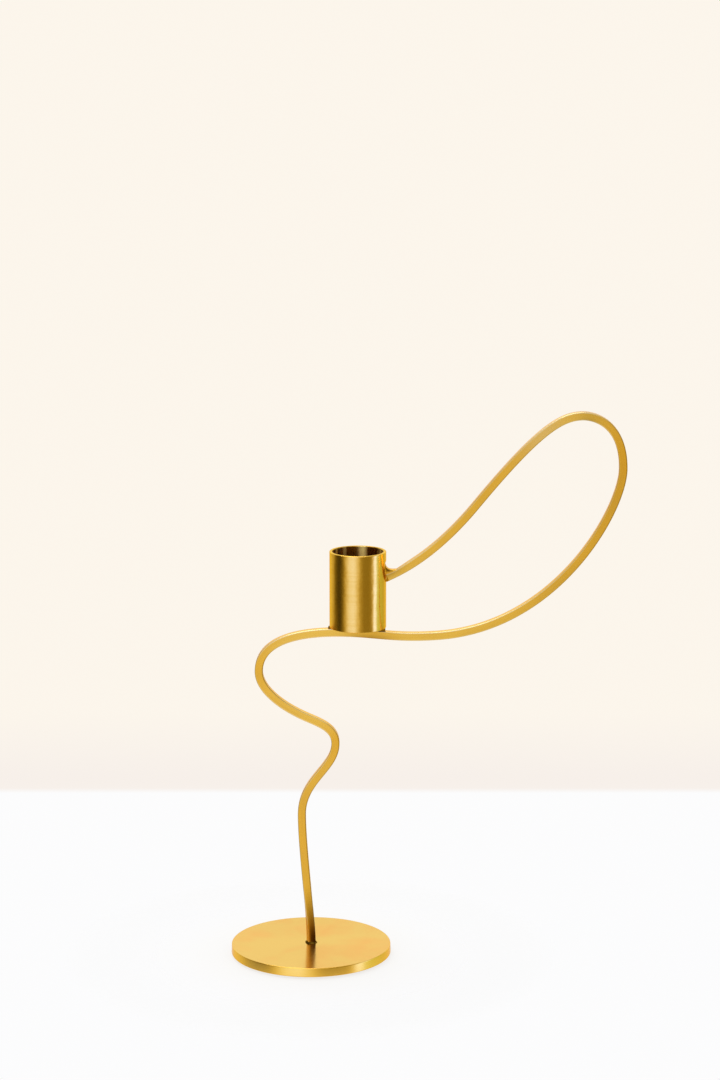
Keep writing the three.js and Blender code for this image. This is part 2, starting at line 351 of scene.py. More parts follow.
def bar_line():
    """The bar's middle line, as arrays of places (x, z), directions (x, z) and distances from the foot.

    Each bend is a cubic curve that leaves one listed place along its heading and comes in to the next along
    its heading. All the curves are worked out at once from their four control points.
    """
    steps = sizes().bend_steps
    bends = np.array(LOWER_BENDS + UPPER_BENDS)
    place = bends[:, :2] * MM
    place[:len(LOWER_BENDS)] += (0, PLATE_TOP)
    place[len(LOWER_BENDS):] += (CUP_REACH, CUP_UNDERSIDE)
    heading = np.radians(bends[:, 2:3])
    facing = np.concatenate([np.cos(heading), np.sin(heading)], axis=1)
    leaving = place[:-1] + facing[:-1] * bends[:-1, 4:5] * MM
    arriving = place[1:] - facing[1:] * bends[1:, 3:4] * MM
    t = (np.arange(steps) / steps)[None, :, None]
    a, b, c, d = (corner[:, None, :] for corner in (place[:-1], leaving, arriving, place[1:]))
    slope = (1 - t) ** 2 * (b - a) + 2 * (1 - t) * t * (c - b) + t ** 2 * (d - c)
    line = np.concatenate([cubic(t, a, b, c, d).reshape(-1, 2), place[-1:]])
    slope = np.concatenate([slope.reshape(-1, 2), facing[-1:]])
    slope /= np.linalg.norm(slope, axis=1, keepdims=True)
    return line, slope, lengths(line)


def on_last_bend(line):
    """Tells which places of the middle line lie on its last bend, beside the cup."""
    return np.arange(len(line)) > len(line) - sizes().bend_steps


def bar_end():
    """The middle line, and the distance from the foot at which it reaches the cup's side."""
    line, slope, travelled = bar_line()
    last = on_last_bend(line)
    reached = np.interp(-CUP_SIDE, -line[last, 0], travelled[last])
    return reached, line, slope, travelled


def at_station(station, travelled, values):
    """The x and z of places or directions at a distance from the foot."""
    return np.array([np.interp(station, travelled, values[:, axis]) for axis in (0, 1)])


def square_section(half, corner):
    """The bar's section, a square with round corners: (across, sideways) points and a mark, 1 on corners."""
    flat = half - corner
    shares = np.array([-0.82, -0.3, 0.3, 0.82])[:, None]
    points, marks = [], []
    for side in range(4):
        start = 90 * side
        middle, turned = math.radians(start + 45), math.radians(start + 90)
        reach = flat * math.sqrt(2)
        centre = reach * math.cos(middle), reach * math.sin(middle)
        across = np.array([math.cos(turned), math.sin(turned)])
        onward = np.array([-across[1], across[0]])
        bend = arc(centre, corner, start, start + 90)
        points += [bend, across * half + onward * flat * shares]
        marks += [np.ones(len(bend)), np.zeros(len(shares))]
    return np.concatenate(points), np.concatenate(marks)


def twisted(across, sideways, twist):
    """A section's two coordinates, turned by an angle about the bar's length."""
    return (across * np.cos(twist) - sideways * np.sin(twist),
            across * np.sin(twist) + sideways * np.cos(twist))


def off_line(line, slope, across, sideways):
    """Points off the middle line: across is square to it in its upright plane, sideways to the viewer."""
    return np.stack([line[0] - slope[1] * across, -sideways, line[1] + slope[0] * across], axis=-1)


def swollen(section, offset):
    """A section whose points have moved away from its middle by an offset."""
    outward = section / np.linalg.norm(section, axis=1, keepdims=True)
    return section[None] + outward[None] * offset[..., None]


def filed_away(to_cup):
    """How much the file took off the top of the bar, a bell about 5 mm from its end at the cup."""
    return 0.8 * sizes().filed * fading(to_cup - 5 * MM, 6 * MM)


def near_spot(line, reach, height, radius):
    """A mark that is 1 where the bar passes a marked spot and fades round it."""
    away = np.linalg.norm(line - (CUP_REACH + reach * MM, CUP_UNDERSIDE + height * MM), axis=1)
    return fading(away, radius * MM)[:, None]


def make_bar():
    """The square bar from the plate's top to the wall of the cup.

    The section is carried along the middle line, turned by a twist that eases out above the foot, and its top
    is filed down beside the cup. The marks are numbers per point for bar_material: "edge" on the corners,
    "scorch" for brazing tint round the foot, brazing tint with painted shade at the cup end and on the
    saddle under the cup, and smudges, "level" for a painted highlight on the level stretches and near the
    foot, "worn" for a painted highlight on the front corners there, and "rubbed" on the arm.
    """
    line, slope, travelled = bar_line()
    inside_wall = on_last_bend(line) & (line[:, 0] < CUP_SIDE - 0.3 * sizes().cup_wall)
    line, slope, travelled = line[~inside_wall], slope[~inside_wall], travelled[~inside_wall]
    half = sizes().bar_size / 2
    section, corner = square_section(half, sizes().bar_corner)
    from_foot, to_cup = travelled[:, None], (travelled[-1] - travelled)[:, None]
    twist = sizes().foot_twist * eased(1 - from_foot / sizes().foot_twist_length)
    across, sideways = twisted(section[None, :, 0], section[None, :, 1], twist)
    grid = off_line(line.T[..., None], slope.T[..., None], across, sideways)

    # From -1 to 1 across the bar: 1 on the saddle's underside and on the top of the arm that comes back
    outward = -section[None, :, 0] / half
    cut = filed_away(to_cup) * np.clip(outward, 0, 1)
    grid[..., 0] -= cut * slope[:, 1:2]
    grid[..., 2] += cut * slope[:, 0:1]

    rightward = np.clip(((grid[..., 0] - line[:, 0:1]) / half + 0.45) * 2.2, 0, 1)
    at_foot = fading(from_foot, 17 * MM) * (0.12 + 0.86 * rightward)
    # Brazing tint with painted shade near the bar's end at the cup, darker on its upper side
    cup_end_tint_and_shade = fading(to_cup, 9 * MM) * (0.12 + 0.3 * np.clip(0.45 + outward, 0, 1))
    # Painted shade with brazing tint on the saddle under the cup
    on_saddle = near_spot(line, *SADDLE)
    saddle_tint_and_shade = on_saddle * (0.1 + 0.32 * np.clip(0.2 + outward, 0, 1))
    smudged = near_spot(line, *SMUDGED_CREST) * (0.16 + 0.2 * np.clip(-outward, 0, 1))
    # Painted highlight: lighter brass on the level stretches and near the foot, less on the saddle under the
    # cup
    level_highlight = np.maximum(slope[:, 0:1] ** 2, fading(from_foot, 20 * MM)) * (1 - 0.9 * on_saddle)
    marks = {
        "edge": corner,
        "scorch": np.maximum(at_foot + cup_end_tint_and_shade, saddle_tint_and_shade) + smudged,
        "level": level_highlight,
        # Painted highlight along the front corners of the lighter stretches
        "worn": corner * (section[:, 1] > 0) * level_highlight,
        "rubbed": near_spot(line, *RUBBED_ARM),
    }
    marks = {mark: np.broadcast_to(values, grid.shape[:2]) for mark, values in marks.items()}
    return closed_grid("bent_bar_fine", grid, travelled, lengths(section), marks=marks)


# The brazed joints


def make_foot_bead():
    """The bead of braze round the foot: a hollow quarter round swept round the bar's section.

    At turn t from 0 on the plate to a quarter on the bar, the distance from the bar is leg * (1 - sin t) and
    the height is leg * (1 - cos t). The leg varies a little round the bar.
    """
    section, _ = square_section(sizes().bar_size / 2, sizes().bar_corner)
    bearing = np.arctan2(section[:, 1], section[:, 0])
    leg = sizes().foot_bead * (1 + 0.16 * np.sin(2 * bearing + 0.6) + 0.07 * np.sin(5 * bearing))
    turn = np.linspace(0, np.pi / 2, 9)[:, None]
    height = leg * (1 - np.cos(turn))
    skin = swollen(section, leg * (1 - np.sin(turn)))
    inside = section[None] * 0.9
    rows = np.concatenate([skin, inside, inside])
    heights = np.concatenate([height, height[-1:], np.full_like(height[:1], -0.1 * MM)])
    across, sideways = twisted(rows[..., 0], rows[..., 1], sizes().foot_twist)
    grid = np.stack([-across, -sideways, PLATE_TOP + heights], axis=-1)
    along = np.linspace(0, 2 * sizes().foot_bead, len(grid))
    return closed_grid("foot_braze_fine", grid, along, lengths(section), ring=True)


def make_seat_bead():
    """The braze in the wedge between the bar's saddle and the cup's underside.

    At each step along the bar its section is a soft block, wide where it wets the cup and as wide as the bar
    below. It starts in a small bead outside the cup's left edge, swells and ends inside the cup's right edge.
    """
    line = bar_line()[0]
    half = sizes().bar_size / 2
    under = line[(line[:, 1] < CUP_UNDERSIDE) & (line[:, 1] > CUP_UNDERSIDE - 2.5 * sizes().bar_size)]
    under = under[np.argsort(under[:, 0])]
    reach = np.linspace(-CUP_RADIUS - 0.8 * MM, 0.97 * CUP_RADIUS, 60)
    bar_top = np.interp(CUP_REACH + reach, under[:, 0], under[:, 1]) + half
    start = np.clip((reach - reach[0]) / (1.6 * MM), 0, 1)
    end = np.clip((reach[-1] - reach) / (2.5 * MM), 0, 1)
    swell = np.sqrt(1 - (1 - start) ** 2) * np.sqrt(1 - 0.3 * (1 - end) ** 2)
    climb = 0.7 * MM * np.clip(-(reach + CUP_RADIUS - 1.2 * MM) / (2 * MM), 0, 1)
    top = bar_top + (CUP_UNDERSIDE + 0.15 * MM + climb - bar_top) * swell
    bottom = bar_top - 0.35 * MM
    turn, sideways, share = soft_square(28, 0.55)
    width = (half * 0.98 + 0.95 * MM * share ** 2.2) * (0.35 + 0.65 * swell[:, None])
    grid = np.stack([
        np.broadcast_to((CUP_REACH + reach)[:, None], width.shape),
        sideways * width,
        bottom[:, None] + (top - bottom)[:, None] * share], axis=-1)
    return closed_grid("seat_braze_fine", grid, reach - reach[0], turn * half)


def make_top_fillet():
    """The filed fillet of braze between the top of the bar and the cup's side.

    Its face follows a cubic curve from the bar to the cup, drawn towards a corner point near where they meet.
    At each step along the curve the section is a soft block, from that face in to the middle of the bar and
    then of the cup's wall. The mark "scorch" is a bell on the face: a painted shade line.
    """
    reached, line, slope, travelled = bar_end()
    half = sizes().bar_size / 2
    bar_start = at_station(reached - sizes().arrival_length, travelled, line)
    bar_slope = at_station(reached - sizes().arrival_length, travelled, slope)
    end_height = at_station(reached, travelled, line)[1]
    left_on = half - filed_away(sizes().arrival_length) - OVERLAP
    start = bar_start + np.array([bar_slope[1], -bar_slope[0]]) * left_on
    end = np.array([CUP_SIDE - sizes().filed, end_height + half + sizes().arrival_top])
    corner = np.array([CUP_SIDE - 0.2 * MM, end_height + half + 1.7 * MM])
    t = np.linspace(0, 1, 60)[:, None]
    face = cubic(t, start, start + (corner - start) * 0.85, end + (corner - end) * 0.85, end)
    in_wall = CUP_SIDE - 0.9 * MM
    inner_turn = np.array([in_wall, end_height])
    inner_end = np.array([in_wall, end[1] - 0.2 * MM])
    along_bar = np.clip(1 - 2 * t, 0, 1)
    up_wall = np.clip(2 * t - 1, 0, 1)
    inner = inner_turn + (bar_start - inner_turn) * along_bar + (inner_end - inner_turn) * up_wall
    width = half * (0.97 + 0.3 * t ** 3)
    turn, sideways, share = soft_square(40, 0.3)
    grid = np.stack([
        inner[:, 0:1] + (face - inner)[:, 0:1] * share,
        -width * sideways,
        inner[:, 1:2] + (face - inner)[:, 1:2] * share], axis=-1)
    # Painted shade: a dark line across the fillet's face
    marks = {"scorch": fading(share - 0.83, 0.1) * fading(t - 0.42, 0.25)}
    return closed_grid("arrival_braze_top_fine", grid, lengths(face), turn * half, marks=marks)


def make_arrival_collar():
    """The small hollow fillet all round the bar's end.

    With turn t from 0 on the bar to a quarter on the cup, the distance from the cup is 1.6 legs * (1 - sin t)
    and the height above the bar is a leg * (1 - cos t). The last points are drawn on to the cup's wall.
    """
    reached, line, slope, travelled = bar_end()
    leg = sizes().arrival_side
    section, _ = square_section(sizes().bar_size / 2 * 1.005, sizes().bar_corner)
    turn = np.linspace(0, np.pi / 2, 15)[:, None]
    raised = swollen(section, leg * (1 - np.cos(turn)))
    station = reached - 1.6 * leg * (1 - np.sin(turn))
    place, way = at_station(station, travelled, line), at_station(station, travelled, slope)
    skin = off_line(place, way, raised[..., 0], raised[..., 1])
    from_axis = skin[..., :2] - (CUP_REACH, 0)
    far = np.linalg.norm(from_axis, axis=-1, keepdims=True)
    on_wall = from_axis * (CUP_RADIUS - OVERLAP) / far
    pull = (turn / (np.pi / 2))[..., None] ** 2
    skin[..., :2] = (CUP_REACH, 0) + from_axis * (1 - pull) + on_wall * pull
    middle = skin[-1:].mean(axis=1, keepdims=True)
    core_end = middle + (skin[-1:] - middle) * 0.4
    core_end[..., 0] = CUP_SIDE - 0.5 * sizes().cup_wall
    core_start = off_line(place[:, :1], way[:, :1], section[None, :, 0] * 0.5, section[None, :, 1] * 0.5)
    grid = np.concatenate([skin, core_end, core_start])
    along = np.linspace(0, 3 * leg, len(grid))
    return closed_grid("arrival_braze_collar_fine", grid, along, lengths(section), ring=True)


# The turned pieces


def make_disc(name, low, high, radius, edge, draft, steps):
    """A disc turned about Z: flat faces, small round edges and a side that leans in to its top by a draft."""
    lean = math.degrees(math.atan(draft / (high - low - 2 * edge)))
    lower = arc((radius - edge, low + edge), edge, -90, lean)
    upper = arc((radius - edge - draft, high - edge), edge, lean, 90)
    corners = [(0, low), (radius - edge, low), lower[-1], upper[0], upper[-1], (0, high)]
    bottom, side, top = (straight(*corners[2 * k:2 * k + 2], steps[k]) for k in range(3))
    return turned_skin(name, np.concatenate([bottom, lower, side, upper, top]))


def make_plate():
    """The round plate."""
    edge, draft = sizes().plate_edge, sizes().plate_draft
    return make_disc("base_plate_fine", PLATE_LOW.z, PLATE_TOP, PLATE_RADIUS, edge, draft, (10, 6, 24))


def make_pad():
    """The felt disc under the plate, with an upright side."""
    return make_disc("felt_pad_fine", PAD_LOW.z, PAD_HIGH.z, PAD_RADIUS, sizes().pad_edge, 0, (12, 0, 12))


def make_cup():
    """The tube of the cup: four straight sides and four rounded rims, turned about the cup's own axis."""
    edge = sizes().cup_rim
    inner, outer = CUP_RADIUS - sizes().cup_wall + edge, CUP_RADIUS - edge
    low, high = CUP_UNDERSIDE + edge, CUP_RIM - edge
    middles = [(outer, low), (outer, high), (inner, high), (inner, low)]
    rims = [arc(middle, edge, 90 * side - 90, 90 * side) for side, middle in enumerate(middles)]
    profile = [part for side, steps in enumerate((3, 110, 3, 24))
               for part in (straight(rims[side - 1][-1], rims[side][0], steps), rims[side])]
    cup = turned_skin("candle_cup_fine", np.concatenate(profile), (CUP_REACH, 0), ring=True)
    file_notch(cup)
    return cup


def file_notch(cup):
    """Sinks the cup's side a little above the bar's end, where the file ran up from the joint.

    The depth at a point is the full depth times a smooth window in height and one across the notch.
    """
    reached, line, _, travelled = bar_end()
    joint = at_station(reached, travelled, line)[1]
    points = np.empty(len(cup.data.vertices) * 3, dtype=np.float32)
    cup.data.vertices.foreach_get("co", points)
    points = points.reshape(-1, 3).astype(float)
    away = points[:, :2] - (CUP_REACH, 0)
    far = np.linalg.norm(away, axis=1)
    outside = (far > CUP_RADIUS - 0.2 * sizes().cup_wall) & (away[:, 0] > 0)
    top = joint + sizes().bar_size / 2 + sizes().arrival_top
    below_top = eased((top - points[:, 2]) / (3.2 * MM))
    above_joint = eased((points[:, 2] - joint) / (2 * MM))
    across = eased((5.4 * MM - np.abs(points[:, 1])) / (3.6 * MM))
    depth = sizes().filed * outside * below_top * above_joint * across
    points[:, :2] -= away / far[:, None] * depth[:, None]
    fill(cup.data.vertices, "co", points)
    cup.data.update()


def make_cup_floor():
    """The disc in the bottom of the tube, with a small fillet of braze where it meets the wall."""
    bore = CUP_RADIUS - sizes().cup_wall + OVERLAP
    fillet = sizes().floor_fillet
    low, high = CUP_UNDERSIDE + 0.02 * MM, CUP_FLOOR_TOP
    profile = np.concatenate([
        straight((0, low), (bore, low), 8),
        straight((bore, low), (bore, high + fillet), 6),
        arc((bore - fillet, high + fillet), fillet, 0, -90),
        straight((bore - fillet, high), (0, high), 10)])
    return turned_skin("cup_floor_fine", profile, (CUP_REACH, 0))


# Materials


class Socket:
    """A node socket with arithmetic: each sum, product or power adds a Math node."""

    def __init__(self, graph, output):
        self.graph = graph
        self.output = output

    def math(self, operation, *values):
        return self.graph.add("ShaderNodeMath", {"operation": operation}, *values)

    def __add__(self, other):
        return self.math("ADD", self, other)

    __radd__ = __add__

    def __mul__(self, other):
        return self.math("MULTIPLY", self, other)

    __rmul__ = __mul__

    def __sub__(self, other):
        return self.math("SUBTRACT", self, other)

    def __rsub__(self, other):
        return self.math("SUBTRACT", other, self)

    def __truediv__(self, other):
        return self.math("DIVIDE", self, other)

    def __rtruediv__(self, other):
        return self.math("DIVIDE", other, self)

    def __pow__(self, other):
        return self.math("POWER", self, other)

    def __neg__(self):
        return self * -1

    def clamped(self):
        return self.math("MINIMUM", self.math("MAXIMUM", self, 0.0), 1.0)


class Graph:
    """Builds the node tree of a material or a world."""

    def __init__(self, owner):
        owner.use_nodes = True
        self.owner = owner
        self.tree = owner.node_tree
        self.tree.nodes.clear()

    def make(self, kind, settings=None, *values, **named):
        """Adds any node: settings first, then the values or links of its inputs in order or by name."""
        node = self.tree.nodes.new(kind)
        for key, value in (settings or {}).items():
            if key == "stops":
                self.set_stops(node.color_ramp, value)
            else:
                setattr(node, key, value)
        for index, value in enumerate(values):
            self.feed(node.inputs[index], value)
        for key, value in named.items():
            self.feed(node.inputs[key.replace("_", " ")], value)
        return node

    def add(self, kind, settings=None, *values, output=0, **named):
        """Adds a node and gives one of its outputs."""
        return Socket(self, self.make(kind, settings, *values, **named).outputs[output])

    def set_stops(self, ramp, stops):
        while len(ramp.elements) > 1:
            ramp.elements.remove(ramp.elements[-1])
        ramp.elements[0].position, ramp.elements[0].color = stops[0]
        for position, colour in stops[1:]:
            ramp.elements.new(position).color = colour

    def feed(self, target, value):
        """Links a socket to an input, or sets a number or a colour on it."""
        if isinstance(value, Socket):
            self.tree.links.new(value.output, target)
            return
        if hasattr(value, "__len__") and len(value) < len(target.default_value):
            value = (*value, 1.0)
        target.default_value = value

    def mix(self, share, first, second):
        """Blends two colours."""
        node = self.make("ShaderNodeMix", {"data_type": "RGBA"}, share)
        self.feed(node.inputs[6], first)
        self.feed(node.inputs[7], second)
        return Socket(self, node.outputs[2])

    def layered(self, colour, *layers):
        """A colour with others laid over it in turn, each by its share."""
        for share, over in layers:
            colour = self.mix(share, colour, over)
        return colour

    def place(self, kind="Object"):
        return self.add("ShaderNodeTexCoord", output=kind)

    def parts(self, vector):
        """The three numbers of a vector."""
        split = self.make("ShaderNodeSeparateXYZ", None, vector)
        return (Socket(self, split.outputs[axis]) for axis in "XYZ")

    def length(self, vector):
        return self.add("ShaderNodeVectorMath", {"operation": "LENGTH"}, vector, output="Value")

    def stretched(self, place, scale):
        return self.add("ShaderNodeMapping", Vector=place, Scale=scale)

    def noise(self, place, scale, detail=2.0, roughness=0.5):
        named = {"Vector": place, "Scale": scale, "Detail": detail, "Roughness": roughness}
        return self.add("ShaderNodeTexNoise", output="Fac", **named)

    def attribute(self, name):
        return self.add("ShaderNodeAttribute", {"attribute_name": name}, output="Fac")

    def ray(self, kind):
        return self.add("ShaderNodeLightPath", output=f"Is {kind} Ray")

    def bump(self, strength, distance, height):
        return self.add("ShaderNodeBump", Strength=strength, Distance=distance, Height=height)

    def surface(self, **inputs):
        """Ends the material in the shader, and gives the material."""
        self.make("ShaderNodeOutputMaterial", None, self.add("ShaderNodeBsdfPrincipled", **inputs))
        return self.owner

    def metal(self, glancing, **inputs):
        """Ends the material in a metal, which mirrors a given colour at a glancing angle."""
        return self.surface(IOR=1.0, Specular_Tint=glancing, **inputs)


def bar_material(name):
    """Satin brass drawn lengthwise: lines and streaks along the UVs, dull clouds, colours by the marks."""
    finish = bpy.context.scene.holder_finish
    graph = Graph(bpy.data.materials.new(name))
    place, along = graph.place(), graph.place("UV")
    edge, worn, rubbed, level, scorch = (
        graph.attribute(mark) for mark in ("edge", "worn", "rubbed", "level", "scorch"))
    cloud = graph.noise(place, 46, 3, 0.55)
    lines = graph.noise(graph.stretched(along, (5200, 55, 1)), 1, 3, 0.6)
    streaks = graph.noise(graph.stretched(along, (900, 22, 1)), 1)
    specks = graph.noise(place, 900, 2, 0.6)
    # The scorch mark is brazing tint and painted shade
    tint_and_shade = (scorch * (0.75 + cloud * 0.5)).clamped()
    level = level * 0.9
    dulled = ((cloud - 0.42) * 2.2 + (specks - 0.5) * 0.5).clamped() * (1.0 - level * 0.8)
    dulled = (dulled + ((streaks - 0.42) * 2.0).clamped() * 0.5) * (1.0 - edge * 0.6)
    # Painted highlights on the level stretches and their front corners, painted shade on the other corners
    colour = graph.layered(
        finish.bar_brass, (level, finish.highlight_brass), (dulled, finish.brass_deep),
        (rubbed * 0.28, finish.edge_brass), ((edge - worn) * 0.6, finish.edge_shade),
        (worn * 0.65, finish.edge_brass), (tint_and_shade, finish.heat_tint_and_shade))
    rough = (lines - 0.5) * 0.16 + (cloud - 0.5) * 0.14 + finish.bar_roughness - edge * 0.05 + tint_and_shade * 0.1
    normal = graph.bump(0.6, 0.04 * MM, lines * 0.5 + specks * 0.25)
    return graph.metal(finish.plate_tint, Base_Color=colour, Metallic=1.0, Roughness=rough, Normal=normal)


# How much painted highlight lies on the inside of the cup, as pale bands by bearing round the cup's axis from
# its right side
INSIDE_HIGHLIGHT_STOPS = [
    (0, 0.2), (0.09, 0.3), (0.12, 0), (0.185, 0), (0.2, 0.7), (0.215, 1), (0.235, 0.8), (0.25, 0.2),
    (0.265, 0), (0.32, 0), (0.33, 0.4), (0.342, 0.4), (0.355, 0), (0.385, 0), (0.41, 0.3), (0.44, 0.1),
    (0.5, 0.2),
]


def cup_material():
    """Satin brass brushed round the cup: rings from noise on the height, clouds, painted highlight bands
    inside, and painted shade below.
    """
    finish = bpy.context.scene.holder_finish
    cup_wall = sizes().cup_wall
    graph = Graph(bpy.data.materials.new("satin_brass_cup"))
    place = graph.place()
    centred = graph.add("ShaderNodeMapping", Vector=place, Location=(-CUP_REACH, 0, 0))
    x, y, z = graph.parts(centred)
    rings = graph.noise(graph.stretched(centred, (26, 26, 5200)), 1, 3, 0.65)
    broad = graph.noise(graph.stretched(centred, (18, 18, 700)), 1)
    cloud = graph.noise(place, 60, 3, 0.55)
    dents = graph.noise(place, 150)
    radius = (x * x + y * y) ** 0.5
    # Painted shade: the underside is near black and not metal
    underside = ((CUP_UNDERSIDE + 0.1 * MM - z) / (0.08 * MM)).clamped()
    inside = ((CUP_RADIUS - 0.8 * cup_wall - radius) / (0.2 * MM)).clamped()
    on_wall = ((radius - (CUP_RADIUS - cup_wall - 0.7 * MM)) / (0.4 * MM)).clamped()
    bearing = y.math("ARCTAN2", y, x) / (2 * math.pi)
    greys = [(position, (share, share, share, 1.0)) for position, share in INSIDE_HIGHLIGHT_STOPS]
    # Painted highlight: pale bands inside the cup by bearing, with less metal where they lie
    inside_highlight = graph.add("ShaderNodeValToRGB", {"stops": greys}, bearing) * inside * on_wall
    dulled = ((cloud - 0.45) * 1.4 + (broad - 0.5) * 1.2 + (rings - 0.5) * 2.0).clamped()
    colour = graph.layered(
        finish.brass, (dulled, finish.brass_deep), (inside * 0.8, finish.inside_brass), (inside_highlight, finish.inside_highlight),
        (underside, finish.soot_and_shade))
    rough = (rings - 0.5) * 0.06 + (broad - 0.5) * 0.06 + (cloud - 0.5) * 0.04 + finish.cup_roughness
    return graph.metal(
        finish.edge_tint, Base_Color=colour, Metallic=(1.0 - underside - inside_highlight).clamped(),
        Roughness=rough - inside * 0.02 + underside * 0.5,
        Normal=graph.bump(0.12, 0.05 * MM, rings * 0.4 + broad * 0.6 + dents * 25),
        Anisotropic=finish.brushing, Anisotropic_Rotation=0.25)


def plate_material():
    """The plate's satin brass: a soft cloudy patina, faint turning marks from noise on the radius, and a
    painted highlight on its side.
    """
    finish = bpy.context.scene.holder_finish
    graph = Graph(bpy.data.materials.new("satin_brass_plate"))
    place = graph.place()
    cloud = graph.noise(place, 38, 4, 0.6)
    fine = graph.noise(place, 260, 3, 0.6)
    broad = graph.noise(place, 60)
    radius = graph.length(graph.stretched(place, (1, 1, 0)))
    turned = graph.noise(graph.add("ShaderNodeCombineXYZ", None, radius * 900), 1)
    # Painted highlight: the side is made lighter brass
    side = ((radius - (PLATE_RADIUS - 0.4 * MM)) / (0.2 * MM)).clamped()
    dulled = ((broad - 0.44) * 2.4 + (cloud - 0.5) * 1.8 + (fine - 0.5) * 0.4).clamped()
    colour = graph.layered(
        finish.plate_brass, (dulled * 0.75, finish.plate_cloud), (side * 0.8, finish.highlight_brass))
    return graph.metal(
        finish.plate_tint, Base_Color=colour, Metallic=1.0,
        Roughness=(cloud - 0.5) * 0.16 + (fine - 0.5) * 0.06 + finish.plate_roughness,
        Normal=graph.bump(0.1, 0.04 * MM, turned * 0.5 + fine * 0.5),
        Anisotropic=0.6 * finish.brushing, Anisotropic_Rotation=0.25)


def braze_material(name, smooth, tinted):
    """Brazing metal: smooth and bright where it was filed, rough and dark where it was left."""
    finish = bpy.context.scene.holder_finish
    graph = Graph(bpy.data.materials.new(name))
    place = graph.place()
    mottle = graph.noise(place, 1400, 3, 0.6)
    cloud = graph.noise(place, 350)
    dark = ((cloud - 0.5) * 0.7 + (mottle - 0.5) * 0.5 + tinted).clamped()
    return graph.metal(
        finish.heat_tint_and_shade, Base_Color=graph.mix(dark, finish.bar_brass, finish.soot_and_shade), Metallic=smooth,
        Roughness=(mottle - 0.5) * 0.2 + (0.42 - 0.2 * smooth),
        Normal=graph.bump(0.35, 0.05 * MM, mottle * (1 - smooth)))


def felt_material():
    """Pressed felt: short matted fibres in dark grey, from noise drawn out one way."""
    felt = bpy.context.scene.holder_finish.felt
    graph = Graph(bpy.data.materials.new("dark_felt"))
    place = graph.place()
    fibres = graph.noise(graph.stretched(place, (1, 2.4, 1)), 1700, 4, 0.7)
    tufts = graph.noise(place, 240, 3, 0.6)
    light = [min(1.0, channel * 2.6) for channel in felt]
    colour = graph.mix((fibres * 0.8 + (tufts - 0.5) * 0.6).clamped(), felt, light)
    return graph.surface(Base_Color=colour, Roughness=0.95, Normal=graph.bump(0.7, 0.2 * MM, fibres))


def dress(piece, material, slot_name, *nodes):
    """Gives a piece its material and its body, and hides the nodes that it stands for."""
    piece.data.materials.append(material)
    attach(piece, "root")
    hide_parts(*nodes)


# Stage


def warm(value, green=1.0):
    """Light of a given brightness: amber where the room is dim, white and then cool where it is bright."""
    return value, value * green * (0.8 + 0.36 * value ** 2.2), value * (0.15 + 1.9 * value ** 3.5), 1.0


# The room by bearing, as (bearing, brightness) or (bearing, brightness, how much greener than lamplight).
# A bearing of 0.5 looks from the object towards the camera, 0.75 to its right side.
ROOM_STOPS = [
    (0, 0.9), (0.117, 0.82), (0.17, 0.6), (0.208, 0.22), (0.242, 0.1), (0.272, 0.05), (0.303, 0.1),
    (0.33, 0.25), (0.353, 0.58), (0.378, 0.88), (0.405, 1.03), (0.45, 1.08), (0.475, 1), (0.493, 0.84),
    (0.507, 0.78), (0.5145, 0.69), (0.521, 0.545), (0.54, 0.4), (0.565, 0.28), (0.625, 0.28), (0.655, 0.36),
    (0.677, 0.75), (0.697, 1.22), (0.713, 1.22), (0.74, 0.76, 1.25), (0.775, 0.62, 1.35), (0.85, 0.62, 1.15),
    (0.9, 0.74), (1, 0.9),
]

# Light from below the horizon, from the ceiling, from the far wall's foot and height, and on matt things
LOW_LIGHT, CEILING_LIGHT = warm(0.7), warm(0.65)
FAR_WALL_FOOT, FAR_WALL_HIGH = (0.95, 0.97, 1.05), (1.15, 1.35, 2.3)
MATT_LIGHT = (0.9, 0.88, 0.84)


def room_colour(graph, x, y, z):
    """The room that the metal mirrors: lamps and dark openings by bearing, a far wall and a pale ceiling."""
    lean = (z * 3.0).clamped() * 0.05
    bearing = x.math("ARCTAN2", x, -y) / (2 * math.pi) + 0.5 - lean
    stops = [(position, warm(*light)) for position, *light in ROOM_STOPS]
    room = graph.add("ShaderNodeValToRGB", {"stops": stops}, bearing)
    below = ((z + 0.42) * -5.0).clamped()
    behind = ((y - 0.6) * 4.0).clamped()
    above = ((z - 0.5) * 4.0).clamped()
    far_wall = graph.mix((z * 4.0).clamped(), FAR_WALL_FOOT, FAR_WALL_HIGH)
    return graph.layered(room, (below, LOW_LIGHT), (behind, far_wall), (above, CEILING_LIGHT))


def backdrop_colour(graph, x, y, z):
    """What the camera sees behind the object, by how far it looks down: pale wall, soft band, pale floor."""
    stage = bpy.context.scene.holder_stage
    wall, skirting, table = stage.wall_colour, stage.skirting_colour, stage.table_colour
    level = x.math("MAXIMUM", x.math("ABSOLUTE", x), x.math("ABSOLUTE", y))
    depression = (z / level * -2.3).clamped()
    bands = [(0, wall), (0.6, wall), (0.65, skirting), (0.66, skirting), (0.664, table), (1, table)]
    stops = [(position, (*colour, 1.0)) for position, colour in bands]
    return graph.add("ShaderNodeValToRGB", {"stops": stops}, depression)


def make_world():
    """The plain backdrop to the camera, plain light to matt things, and the studio room to metal."""
    world = bpy.data.worlds.new("studio")
    bpy.context.scene.world = world
    graph = Graph(world)
    direction = tuple(graph.parts(graph.place("Generated")))
    room = graph.mix(graph.ray("Diffuse"), room_colour(graph, *direction), MATT_LIGHT)
    colour = graph.mix(graph.ray("Camera"), room, backdrop_colour(graph, *direction))
    graph.make("ShaderNodeOutputWorld", None, graph.add("ShaderNodeBackground", None, colour, 1.0))


